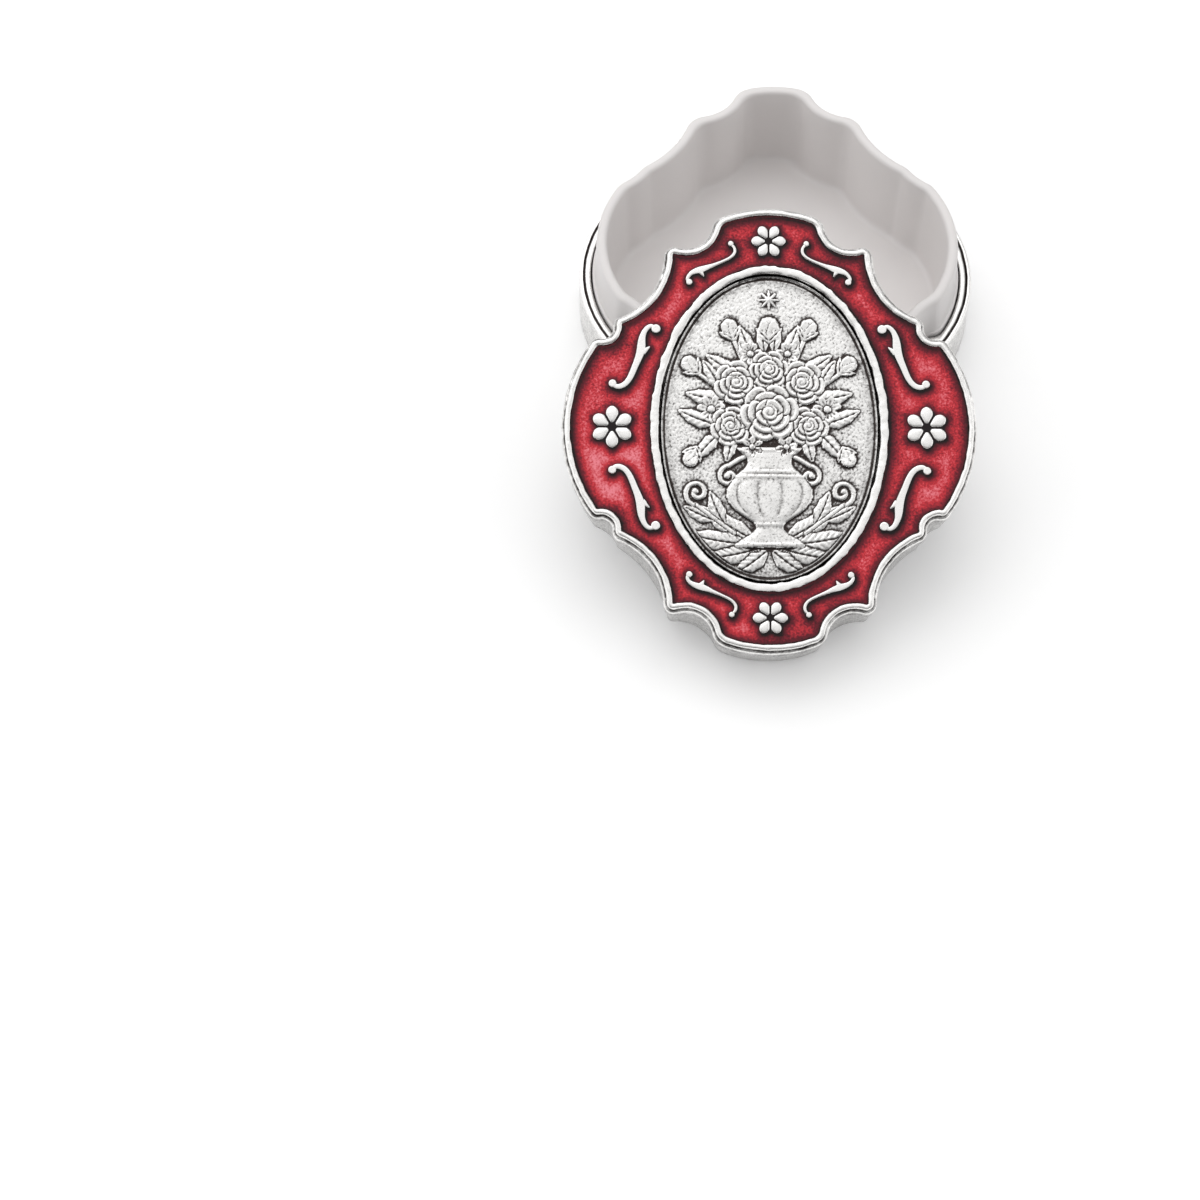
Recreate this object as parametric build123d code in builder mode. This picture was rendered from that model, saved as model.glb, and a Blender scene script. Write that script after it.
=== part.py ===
from build123d import *
from math import asin, cos, sin
import os

# Rosary box with a lift-off lid: a cast cup, a moulded tray whose neck stands above the cup,
# and a cast lid with enamel in its recess and an oval plaque in a bezel.
# Millimetres, +Z up.  The origin is the centre of the base's underside; the lid lies in front
# of the base (-Y), leaning with its skirt on the tray's rim.

os.makedirs("parts", exist_ok=True)

# ---- overall ----
box_width = 71.0        # outer wall, side lobe to side lobe
box_length = 78.6       # outer wall, end lobe to end lobe
base_height = 10.2      # table to the cup's ledge
rim_height = 20.0       # table to the tray's rim
lid_height = 12.3       # skirt's lower edge to the top of the bead

# ---- cartouche outline, drawn at the edge of the enamel ----
skirt_wall = 1.65       # outer wall to the edge of the enamel
side_lobe_back = 4.63   # how far the side lobe has curved back at its point
side_lobe_half = 14.31  # half height of a side lobe
notch_back = 8.74       # inner end of the notch beside the lobe, back from the lobe's crown
notch_y = 18.15
notch_dip = 1.4304      # how deep the notch is below its chord
shoulder_dip = 2.3615   # the same for the long scoop
shoulder_run = 8.71     # notch to the point between the shoulder and the end notch, across
shoulder_back = 6.87
end_notch_dip = 2.4363  # and for the scoop beside an end lobe
end_lobe_half = 8.09    # half width of an end lobe
end_lobe_back = 1.63
end_lobe_round = 1.5

# ---- cup ----
cup_floor = 1.2
cup_edge = 0.5          # bevel under the cup
ledge_width = 2.3       # outer wall to the foot of the tray

# ---- tray ----
tray_fit = 0.1          # clearance between the tray and the cup's wall
tray_floor = 1.0
tray_corner = 2.5
foot_height = 0.8       # low step of the tray above the ledge
foot_width = 0.5
neck_draft = 0.5        # how much the neck leans in up to the rim
rim_width = 1.7
rim_edge = 0.5          # bevels on both sides of the rim
cavity_draft = 0.85     # how much the inside leans in down to the floor
shoulder_ease = 0.6     # the tray's shoulders are fuller than the cup's

# ---- lid ----
plate_depth = 2.0       # top of the bead to the underside of the plate
step_width = 0.7        # outer wall to the bead
step_depth = 1.3
bead_edge = 0.28        # bevels on both sides of the bead
recess_depth = 0.85
enamel_depth = 0.35     # the enamel's surface below the bead
ornament_depth = 0.12   # the ornaments' tops below the bead

side_band = 13.75       # enamel between a side lobe's crown and the oval bezel
end_band = 9.25
bezel_width = 1.3
seat_depth = 1.4
plaque_fit = 0.1
plaque_thick = 0.85
plaque_rim = 0.65
plaque_rim_height = 0.3

# ---- ornaments in the enamel ----
side_flower_back = 7.05  # side lobe's crown to the middle of its flower
side_flower_radius = 3.7
end_flower_back = 4.55
end_flower_radius = 3.0
petals = 6
petal_width = 0.46      # as a share of the flower's radius
scroll_width = 0.62
side_scroll_back = 11.55  # side lobe's crown to the middle of a side scroll
side_scroll_drop = 5.95  # notch to the middle of a side scroll
end_scroll_back = 9.05   # end lobe's crown to the middle of an end scroll
end_scroll_in = 6.8      # end of the shoulder to the middle of an end scroll

# ---- how the lid rests, and how far it lifts ----
lid_forward = 43.6      # centre of the base to the centre of the lid's top
lid_left = 2.5
rest_gap = 0.1          # between the skirt's edge and the tray's rim

half_x = box_width / 2 - skirt_wall
half_y = box_length / 2 - skirt_wall
bezel_x = half_x - side_band  # outer semi-axes of the oval bezel
bezel_y = half_y - end_band
shoulder_x = half_x - notch_back - shoulder_run
side_flower_x = half_x - side_flower_back
end_flower_y = half_y - end_flower_back
side_scroll_middle = (half_x - side_scroll_back, notch_y - side_scroll_drop)
end_scroll_middle = (shoulder_x - end_scroll_in, half_y - end_scroll_back)
tray_inset = ledge_width + tray_fit
neck_inset = ledge_width + foot_width
rim_inset = neck_inset + neck_draft
cavity_inset = rim_inset + rim_width
floor_inset = cavity_inset + cavity_draft
tray_floor_top = cup_floor + tray_floor


def cartouche(inset, corner=0.0, ease=0.0, mode=Mode.ADD):
    """The box's outline, `inset` inside its outer wall, added to the sketch being drawn.

    Outside the enamel's edge the offset rounds the points.  Inside it `corner` does, and
    `ease` makes the four shoulders fuller."""
    side = (half_x - side_lobe_back, side_lobe_half)
    notch = (half_x - notch_back, notch_y)
    shoulder = (shoulder_x, half_y - shoulder_back)
    end = (end_lobe_half, half_y - end_lobe_back)
    with BuildSketch(Plane.XY, mode=Mode.PRIVATE) as outline:
        with BuildLine():
            TangentArc((half_x, 0), side, tangent=(0, 1))
            SagittaArc(side, notch, notch_dip)
            scoop = SagittaArc(notch, shoulder, shoulder_dip, mode=Mode.PRIVATE)
            middle = scoop @ 0.5
            outward = middle.normalized() * ease
            ThreePointArc(notch, middle + outward, shoulder)
            SagittaArc(shoulder, end, end_notch_dip)
            TangentArc((0, half_y), end, tangent=(1, 0))
            mirror(about=Plane.YZ)
            mirror(about=Plane.XZ)
        make_face()
        if inset < skirt_wall:
            offset(amount=skirt_wall - inset, kind=Kind.ARC)
        else:
            if inset > skirt_wall:
                offset(amount=skirt_wall - inset, kind=Kind.INTERSECTION)
            points = outline.vertices().filter_by(lambda v: min(abs(v.X), abs(v.Y)) > 1)
            if corner:
                fillet(points, corner)
            else:
                fillet(points.sort_by(lambda v: abs(v.X))[:4], end_lobe_round)
    add(outline.sketch_local, mode=mode)


def flower(radius, turn):
    """Six round-ended petals that meet in the middle."""
    with PolarLocations(0.58 * radius, petals, start_angle=turn):
        SlotOverall(0.84 * radius, petal_width * radius)
    Circle(0.32 * radius)


with BuildSketch(Plane.XY) as side_scroll:
    # a leaf that swells in the middle, between two hooks that end in beads
    with BuildLine() as side_stem:
        stem = ThreePointArc((-0.6, 3.3), (0.05, -0.2), (1.9, -4.3))
        TangentArc(stem @ 0, (-2.7, 5.3), tangent=stem % 0 * -1)
        TangentArc(stem @ 1, (4.3, -4.6), tangent=stem % 1)
    trace(line_width=scroll_width)
    with BuildLine():
        ThreePointArc((-0.75, 4.6), (-0.75, 0.6), (1.4, -3.6))
        ThreePointArc((1.4, -3.6), (0.75, 0.7), (-0.75, 4.6))
    make_face()
    with Locations((-2.85, 5.15)):
        Circle(0.65)
    with Locations((4.4, -4.55)):
        Circle(0.5)

with BuildSketch(Plane.XY) as end_scroll:
    with BuildLine() as end_stem:
        stem = ThreePointArc((-2.9, 1.4), (-0.2, 0.05), (2.6, -0.95))
        TangentArc(stem @ 0, (-3.0, 4.0), tangent=stem % 0 * -1)
        TangentArc(stem @ 1, (4.1, -2.9), tangent=stem % 1)
    trace(line_width=scroll_width * 0.75)
    with BuildLine():
        ThreePointArc((-0.4, 0.2), (1.4, -0.05), (3.4, -1.2))
        ThreePointArc((3.4, -1.2), (1.4, -1.25), (-0.4, 0.2))
    make_face()
    with Locations((-3.05, 3.9)):
        Circle(0.38)
    with Locations((4.0, -2.8)):
        Circle(0.45)

with BuildSketch(Plane.XY) as ornaments:
    with Locations((side_flower_x, 0), (-side_flower_x, 0)):
        flower(side_flower_radius, 90)
    with Locations((0, end_flower_y), (0, -end_flower_y)):
        flower(end_flower_radius, 0)
    with Locations(side_scroll_middle):
        add(side_scroll.sketch)
    with Locations(end_scroll_middle):
        add(end_scroll.sketch)
    scrolls = [face for face in ornaments.faces() if min(face.center().X, face.center().Y) > 2]
    mirror(scrolls, about=Plane.YZ)
    scrolls = [face for face in ornaments.faces() if min(abs(face.center().X), face.center().Y) > 2]
    mirror(scrolls, about=Plane.XZ)

# ---- where the lid rests ----
# Seen from above, the skirt crosses the rim on each side.  The crossing nearest the lid's
# front edge carries it, so the distance from that edge to the crossing sets the tilt.
with BuildSketch(Plane.XY) as rim_ring:
    cartouche(rim_inset, tray_corner, shoulder_ease)
    cartouche(cavity_inset, tray_corner, shoulder_ease, mode=Mode.SUBTRACT)
with BuildSketch(Plane.XY) as skirt_ring:
    cartouche(0)
    cartouche(skirt_wall, mode=Mode.SUBTRACT)
tilt = asin((rim_height + rest_gap) / (0.78 * box_length))
for _ in range(4):
    skirt_y = lid_height * sin(tilt) - lid_forward
    seen = scale(skirt_ring.sketch, by=(1, cos(tilt), 1), mode=Mode.PRIVATE)
    seen = seen.moved(Location((-lid_left, skirt_y, 0)))
    crossing = seen & rim_ring.sketch
    lean_run = box_length / 2 + (crossing.bounding_box().min.Y - skirt_y) / cos(tilt)
    tilt = asin((rim_height + rest_gap) / lean_run)
lid_z = box_length / 2 * sin(tilt) + lid_height * cos(tilt)
lid_plane = Plane(
    origin=(-lid_left, -lid_forward, lid_z), x_dir=(1, 0, 0), z_dir=(0, -sin(tilt), cos(tilt))
)

# ---- cast cup ----
with BuildPart() as base_shell:
    with BuildSketch(Plane.XY):
        cartouche(0)
    extrude(amount=base_height)
    chamfer(base_shell.faces().sort_by(Axis.Z)[0].edges(), cup_edge)
    with BuildSketch(Plane.XY.offset(cup_floor)):
        cartouche(ledge_width, tray_corner)
    extrude(amount=base_height, mode=Mode.SUBTRACT)
base_shell.part.label = "base_shell"

# ---- moulded tray ----
with BuildPart() as base_liner:
    with BuildSketch(Plane.XY.offset(cup_floor)):
        cartouche(tray_inset, tray_corner)
    extrude(amount=base_height + foot_height - cup_floor)
    with BuildSketch(Plane.XY.offset(base_height + foot_height)):
        cartouche(neck_inset, tray_corner, shoulder_ease)
    with BuildSketch(Plane.XY.offset(rim_height)):
        cartouche(rim_inset, tray_corner, shoulder_ease)
    loft(ruled=True)
    with BuildSketch(Plane.XY.offset(tray_floor_top)):
        cartouche(floor_inset, tray_corner, shoulder_ease)
    with BuildSketch(Plane.XY.offset(rim_height)):
        cartouche(cavity_inset, tray_corner, shoulder_ease)
    loft(ruled=True, mode=Mode.SUBTRACT)
    chamfer(base_liner.faces().sort_by(Axis.Z)[-1].edges(), rim_edge)
base_liner.part.label = "base_liner"

# ---- cast lid ----
with BuildPart() as lid_casting:
    with BuildSketch(lid_plane.offset(-lid_height)):
        cartouche(0)
    extrude(amount=lid_height - step_depth)
    with BuildSketch(lid_plane.offset(-step_depth)):
        cartouche(step_width)
    extrude(amount=step_depth)
    with BuildSketch(lid_plane.offset(-recess_depth)):
        cartouche(skirt_wall)
    extrude(amount=recess_depth, mode=Mode.SUBTRACT)
    with BuildSketch(lid_plane.offset(-lid_height)):
        cartouche(skirt_wall)
    extrude(amount=lid_height - plate_depth, mode=Mode.SUBTRACT)
    top = lid_casting.faces().sort_by(Axis(lid_plane.origin, lid_plane.z_dir))[-1]
    chamfer(top.edges(), bead_edge)
    with BuildSketch(lid_plane.offset(-recess_depth)):
        Ellipse(bezel_x, bezel_y)
    extrude(amount=recess_depth)
    with BuildSketch(lid_plane.offset(-seat_depth)):
        Ellipse(bezel_x - bezel_width, bezel_y - bezel_width)
    extrude(amount=seat_depth, mode=Mode.SUBTRACT)
    with BuildSketch(lid_plane.offset(-recess_depth)):
        add(ornaments.sketch)
    extrude(amount=recess_depth - ornament_depth)
lid_casting.part.label = "lid_casting"

# ---- enamel in the lid's recess, round the bezel and the ornaments ----
with BuildPart() as lid_enamel:
    with BuildSketch(lid_plane.offset(-recess_depth)):
        cartouche(skirt_wall)
        Ellipse(bezel_x, bezel_y, mode=Mode.SUBTRACT)
        add(ornaments.sketch, mode=Mode.SUBTRACT)
    extrude(amount=recess_depth - enamel_depth)
lid_enamel.part.label = "lid_enamel"

# ---- oval plaque in the bezel, with its own thin rim ----
with BuildPart() as lid_medallion:
    with BuildSketch(lid_plane.offset(-seat_depth)):
        Ellipse(bezel_x - bezel_width - plaque_fit, bezel_y - bezel_width - plaque_fit)
    extrude(amount=plaque_thick)
    with BuildSketch(lid_plane.offset(plaque_thick - seat_depth)):
        Ellipse(bezel_x - bezel_width - plaque_fit, bezel_y - bezel_width - plaque_fit)
        Ellipse(
            bezel_x - bezel_width - plaque_fit - plaque_rim,
            bezel_y - bezel_width - plaque_fit - plaque_rim,
            mode=Mode.SUBTRACT,
        )
    extrude(amount=plaque_rim_height)
lid_medallion.part.label = "lid_medallion"

for piece in (base_shell, base_liner, lid_casting, lid_enamel, lid_medallion):
    export_step(piece.part, f"parts/{piece.part.label}.step")
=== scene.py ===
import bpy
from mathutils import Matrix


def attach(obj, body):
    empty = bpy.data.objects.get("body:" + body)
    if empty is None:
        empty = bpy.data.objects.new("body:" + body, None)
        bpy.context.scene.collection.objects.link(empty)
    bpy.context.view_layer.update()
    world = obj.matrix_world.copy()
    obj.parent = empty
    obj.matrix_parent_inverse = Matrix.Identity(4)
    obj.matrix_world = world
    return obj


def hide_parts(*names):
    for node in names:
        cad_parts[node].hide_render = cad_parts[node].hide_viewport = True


bl_info = {
    "name": "Rosary box",
    "version": (1, 0, 0),
    "blender": (4, 5, 0),
    "location": "View3D > Sidebar > Rosary box",
    "description": "Lobed silver box with a white tray and a red enamelled lift-off lid",
    "category": "Add Mesh",
}

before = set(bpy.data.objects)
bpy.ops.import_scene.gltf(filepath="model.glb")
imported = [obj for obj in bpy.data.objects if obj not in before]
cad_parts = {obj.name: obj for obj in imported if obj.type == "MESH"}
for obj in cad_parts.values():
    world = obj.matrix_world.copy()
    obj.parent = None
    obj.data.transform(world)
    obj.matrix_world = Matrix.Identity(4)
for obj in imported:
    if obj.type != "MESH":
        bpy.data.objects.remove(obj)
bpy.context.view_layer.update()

from math import atan2, cos, exp, hypot, pi, radians, sin, sqrt, tanh

import bmesh
import bpy
import numpy as np
from mathutils import Matrix, Vector, noise
from mathutils.kdtree import KDTree

MM = 0.001


# ---------------------------------------------------------------- settings


def setting(name, description, default, **limits):
    return bpy.props.FloatProperty(name=name, description=description, default=default, **limits)


class ROSARYBOX_PG_outline(bpy.types.PropertyGroup):
    """The lobed outline, drawn at the edge of the enamel (millimetres)"""

    half_width: setting("Half width", "Centre to the crown of a side lobe", 33.85, min=10)
    half_length: setting("Half length", "Centre to the crown of an end lobe", 37.65, min=10)
    skirt_wall: setting("Skirt wall", "Outer wall to the edge of the enamel", 1.65, min=0.5)
    notch_dip: setting("Notch depth", "Small notch beside a side lobe", 1.4304, min=0.2)
    shoulder_dip: setting("Shoulder depth", "Long scoop between the notches", 2.3615, min=0.8)
    end_notch_dip: setting("End notch depth", "Scoop beside an end lobe", 2.4363, min=0.8)
    point_round: setting("Point rounding", "Rounding of the sharp points", 0.22, min=0.05)
    end_round: setting("End lobe rounding", "Rounding where an end lobe starts", 1.5)


class ROSARYBOX_PG_lid(bpy.types.PropertyGroup):
    """The lid and how it leans (millimetres, degrees)"""

    tilt: setting("Lean", "Angle of the lid to the table", 19.8336)
    left: setting("Left", "Lid's centre, left of the base's", 2.5)
    forward: setting("Forward", "Lid's centre, in front of the base's", 43.6)
    height: setting("Height", "Table to the middle of the lid's top", 24.9045)
    bezel_x: setting("Bezel half width", "Oval bezel, outside", 20.3, min=5)
    bezel_y: setting("Bezel half length", "Oval bezel, outside", 28.65, min=5)
    bezel_width: setting("Bezel width", "Width of the bezel's top", 1.5, min=0.2)


def colour_setting(name, description, default):
    return bpy.props.FloatVectorProperty(
        name=name, description=description, subtype="COLOR", size=3, default=default, min=0, max=1
    )


class ROSARYBOX_PG_finish(bpy.types.PropertyGroup):
    """Colours of the finishes"""

    silver: colour_setting("Silver", "Polished high points", (0.92, 0.91, 0.895))
    # The antiquing colour also paints shade on the plaque's steep slopes and towards its bottom.
    tarnish_and_shade: colour_setting("Antiquing", "Dark patina in the hollows", (0.042, 0.034, 0.032))
    enamel: colour_setting("Enamel", "Body colour of the enamel", (0.72, 0.034, 0.05))
    # The highlight colour is also the painted sheen at the left of the lid, and the shade colour the painted
    # shadow in front of the bead and bezel.
    enamel_glow_and_sheen: colour_setting("Enamel highlight", "Where the ground shines through", (1.0, 0.28, 0.33))
    enamel_deep_and_shade: colour_setting("Enamel shade", "Deep enamel against the metal", (0.17, 0.008, 0.02))
    plastic: colour_setting("Tray plastic", "White moulded plastic", (0.87, 0.84, 0.83))


CLASSES = [ROSARYBOX_PG_outline, ROSARYBOX_PG_lid, ROSARYBOX_PG_finish]


# ---------------------------------------------------------------- outline


def scoop(p, q, dip):
    """Centre and radius of the arc through p and q that dips towards the box's middle."""
    dx, dy = q[0] - p[0], q[1] - p[1]
    half = hypot(dx, dy) / 2
    radius = (half * half + dip * dip) / (2 * dip)
    nx, ny = dy / (2 * half), -dx / (2 * half)
    mx, my = (p[0] + q[0]) / 2, (p[1] + q[1]) / 2
    if nx * mx + ny * my < 0:
        nx, ny = -nx, -ny
    return (mx + nx * (radius - dip), my + ny * (radius - dip)), radius


def crossing(c1, r1, c2, r2, near):
    """The point where two circles cross, on the side that is nearer to `near`."""
    dx, dy = c2[0] - c1[0], c2[1] - c1[1]
    d = hypot(dx, dy)
    a = (r1 * r1 - r2 * r2 + d * d) / (2 * d)
    h = sqrt(max(r1 * r1 - a * a, 0))
    px, py = c1[0] + a * dx / d, c1[1] + a * dy / d
    ends = [(px + h * dy / d, py - h * dx / d), (px - h * dy / d, py + h * dx / d)]
    return min(ends, key=lambda e: hypot(e[0] - near[0], e[1] - near[1]))


def outline_ring(inset, corner=0.0, ease=0.0, fill=0.0, level=0.0):
    """Points round the box's outline, `inset` inside its outer wall, as an (n, 2) array.

    `ease` makes the long scoops fuller, `level` the small notches and `fill` all of them.  Every ring
    has as many points, in the same order, so that rings can be joined."""
    o = bpy.context.scene.rosary_outline
    hx, hy = o.half_width, o.half_length
    side_rise, end_rise = 4.63, 1.63  # how far the crown of a lobe stands out from its ends
    b, c = (hx - side_rise, 14.31), (hx - 8.74, 18.15)
    d, e = (16.4, hy - 6.87), (8.09, hy - end_rise)
    deeper = inset - o.skirt_wall
    side_r = (side_rise**2 + b[1] ** 2) / (2 * side_rise)
    end_r = (end_rise**2 + e[0] ** 2) / (2 * end_rise)
    notch, notch_r = scoop(b, c, o.notch_dip - fill - level)
    shoulder, shoulder_r = scoop(c, d, o.shoulder_dip - ease - fill)
    end_notch, end_notch_r = scoop(d, e, o.end_notch_dip - fill)
    arcs = [
        # centre, radius, 1 where the arc bulges outwards, points along it
        ((hx - side_r, 0.0), side_r - deeper, 1, 48),
        (notch, notch_r + deeper, -1, 14),
        (shoulder, shoulder_r + deeper, -1, 40),
        (end_notch, end_notch_r + deeper, -1, 22),
        ((0.0, hy - end_r), end_r - deeper, 1, 22),
    ]
    rounds = [o.point_round, o.point_round, o.point_round, o.end_round]
    starts, ends, corners = [(hx - deeper, 0.0)], [], []
    for (c1, r1, s1, _), (c2, r2, s2, _), point, soft in zip(arcs, arcs[1:], (b, c, d, e), rounds):
        rho = max(corner, soft - deeper, 0.12)
        k = crossing(c1, r1 - s1 * rho, c2, r2 - s2 * rho, point)
        touch = []
        for centre, r in ((c1, r1), (c2, r2)):
            along = hypot(k[0] - centre[0], k[1] - centre[1])
            touch.append(
                (centre[0] + (k[0] - centre[0]) * r / along, centre[1] + (k[1] - centre[1]) * r / along)
            )
        ends.append(touch[0])
        starts.append(touch[1])
        corners.append((k, rho))
    ends.append((0.0, hy - deeper))
    quarter = []

    def sweep(centre, p, q, count):
        a0 = atan2(p[1] - centre[1], p[0] - centre[0])
        turn = (atan2(q[1] - centre[1], q[0] - centre[0]) - a0 + pi) % (2 * pi) - pi
        r = hypot(p[0] - centre[0], p[1] - centre[1])
        for i in range(count):
            a = a0 + turn * i / count
            quarter.append((centre[0] + r * cos(a), centre[1] + r * sin(a)))

    for i, (centre, _, _, count) in enumerate(arcs):
        sweep(centre, starts[i], ends[i], count)
        if i < 4:
            sweep(corners[i][0], ends[i], starts[i + 1], 8)
    quarter.append(ends[-1])
    q = np.array(quarter)
    flip = q[:0:-1]
    return np.concatenate([q[:-1], flip * (-1, 1), q[:-1] * (-1, -1), flip * (1, -1)])


def ellipse_ring(half_x, half_y):
    """Points round an ellipse that face those of the outline."""
    lid = bpy.context.scene.rosary_lid
    edge = outline_ring(bpy.context.scene.rosary_outline.skirt_wall)
    a = np.arctan2(edge[:, 1] / lid.bezel_y, edge[:, 0] / lid.bezel_x)
    return np.stack([half_x * np.cos(a), half_y * np.sin(a)], axis=1)


def inward(ring):
    """Unit normals of a ring, pointing to the middle of the box."""
    t = np.roll(ring, -1, axis=0) - np.roll(ring, 1, axis=0)
    t /= np.linalg.norm(t, axis=1)[:, None]
    return np.stack([-t[:, 1], t[:, 0]], axis=1)


def wobble(ring, z, size, seed):
    """Smooth noise between about -1 and 1 at each point of a ring."""
    return np.array([noise.noise(Vector((x / size, y / size, z / size + seed))) for x, y in ring])


def lift(ring, z):
    """A flat ring at height z, as (n, 3)."""
    return np.column_stack([ring, np.broadcast_to(z, len(ring))])


# ---------------------------------------------------------------- modelling helpers


def deselect():
    if bpy.context.object and bpy.context.object.mode != "OBJECT":
        bpy.ops.object.mode_set(mode="OBJECT")
    bpy.ops.object.select_all(action="DESELECT")


def pick(piece):
    deselect()
    piece.select_set(True)
    bpy.context.view_layer.objects.active = piece


def edit_open_edges(piece):
    """Enters edit mode with only the open edges of a piece selected."""
    pick(piece)
    bpy.ops.object.mode_set(mode="EDIT")
    bpy.ops.mesh.select_all(action="DESELECT")
    bpy.ops.mesh.select_mode(type="EDGE")
    bpy.ops.mesh.select_non_manifold()


def leave_edit():
    """Turns all faces outwards and leaves edit mode."""
    bpy.ops.mesh.select_all(action="SELECT")
    bpy.ops.mesh.normals_make_consistent(inside=False)
    bpy.ops.mesh.select_mode(type="VERT")
    bpy.ops.object.mode_set(mode="OBJECT")


def key(place, digits):
    """A position, rounded so that it can be looked up."""
    return tuple(np.round(np.array(place), digits))


def wall_of_rings(name, rings, start_cap=True, end_cap=True):
    """A circle shaped to the first ring, extruded edge by edge to each of the others."""
    deselect()
    bpy.ops.mesh.primitive_circle_add(vertices=len(rings[0]), radius=0.03, fill_type="NOTHING")
    piece = bpy.context.object
    piece.name = piece.data.name = name
    for vertex, point in zip(piece.data.vertices, rings[0]):
        vertex.co = Vector(point) * MM
    bpy.ops.object.mode_set(mode="EDIT")
    bpy.ops.mesh.select_all(action="SELECT")
    if start_cap:
        bpy.ops.mesh.edge_face_add()
    for before, after in zip(rings, rings[1:]):
        place = {key(Vector(p) * MM, 7): q for p, q in zip(before, after)}
        bpy.ops.mesh.extrude_edges_indiv()
        shape = bmesh.from_edit_mesh(piece.data)
        for vertex in shape.verts:
            if vertex.select:
                vertex.co = Vector(place[key(vertex.co, 7)]) * MM
        bmesh.update_edit_mesh(piece.data)
    if end_cap:
        bpy.ops.mesh.edge_face_add()
    leave_edit()
    return piece


def paint(piece, name, values):
    """A number for each vertex, which the materials read."""
    layer = piece.data.attributes.new(name, "FLOAT", "POINT")
    layer.data.foreach_set("value", np.asarray(values, dtype=np.float32))


def paint_rings(piece, name, rings, values):
    """A number for each ring, or for each point of it, given to the vertices that lie there."""
    known = {}
    for ring, value in zip(rings, values):
        for point, number in zip(ring, np.broadcast_to(value, len(ring))):
            known[key(Vector(point) * MM, 6)] = number
    paint(piece, name, [known.get(key(v.co, 6), 0.0) for v in piece.data.vertices])


def lid_place():
    """Moves a piece that is modelled flat, with the lid's top at z = 0, to where the lid leans."""
    lid = bpy.context.scene.rosary_lid
    at = Matrix.Translation(Vector((-lid.left, -lid.forward, lid.height)) * MM)
    return at @ Matrix.Rotation(radians(lid.tilt), 4, "X")


def finish_piece(piece, body, material, place=None, angle=35, node=None):
    """Places a piece in its mesh, smooths it and hangs it on its body."""
    if place is not None:
        piece.data.transform(piece.matrix_world)
        piece.matrix_world = Matrix.Identity(4)
        piece.data.transform(place)
    piece.data.materials.clear()
    piece.data.materials.append(material)
    pick(piece)
    bpy.ops.object.shade_smooth_by_angle(angle=radians(angle))
    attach(piece, body)
    if node:
        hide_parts(node)


def join(pieces, name):
    deselect()
    for piece in pieces:
        piece.select_set(True)
    bpy.context.view_layer.objects.active = pieces[0]
    bpy.ops.object.join()
    joined = bpy.context.object
    joined.name = joined.data.name = name
    return joined


# ---------------------------------------------------------------- finishes


def new_material(name):
    material = bpy.data.materials.get(name)
    if material:
        return material, None, None, None
    material = bpy.data.materials.new(name)
    material.use_nodes = True
    nodes, links = material.node_tree.nodes, material.node_tree.links
    return material, nodes, links, nodes["Principled BSDF"]


def read_paint(nodes, name):
    attribute = nodes.new("ShaderNodeAttribute")
    attribute.attribute_name = name
    return attribute.outputs["Fac"]


def add_noise(nodes, links, coordinates, scale, detail, rough):
    n = nodes.new("ShaderNodeTexNoise")
    n.inputs["Scale"].default_value = scale
    n.inputs["Detail"].default_value = detail
    n.inputs["Roughness"].default_value = rough
    links.new(coordinates, n.inputs["Vector"])
    return n.outputs["Fac"]


def maths(nodes, links, operation, a, b):
    m = nodes.new("ShaderNodeMath")
    m.operation = operation
    for socket, value in zip(m.inputs, (a, b)):
        if isinstance(value, (int, float)):
            socket.default_value = value
        else:
            links.new(value, socket)
    return m.outputs[0]


def around_zero(nodes, links, cloud, gain):
    """A noise centred on zero and multiplied by `gain`."""
    return maths(nodes, links, "MULTIPLY", maths(nodes, links, "SUBTRACT", cloud, 0.5), gain)


def add_bump(nodes, links, shader, height, strength, distance):
    bump = nodes.new("ShaderNodeBump")
    bump.inputs["Strength"].default_value = strength
    bump.inputs["Distance"].default_value = distance
    links.new(height, bump.inputs["Height"])
    links.new(bump.outputs["Normal"], shader.inputs["Normal"])


def ramp(nodes, links, value, stops):
    r = nodes.new("ShaderNodeValToRGB")
    r.color_ramp.elements[0].position, r.color_ramp.elements[1].position = stops[0][0], stops[-1][0]
    for position, _ in stops[1:-1]:
        r.color_ramp.elements.new(position)
    for element, (position, colour) in zip(r.color_ramp.elements, stops):
        element.color = (*colour, 1)
    links.new(value, r.inputs["Fac"])
    return r.outputs["Color"]


def blend_colours(a, b, t):
    return tuple(x + (y - x) * t for x, y in zip(a, b))


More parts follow.
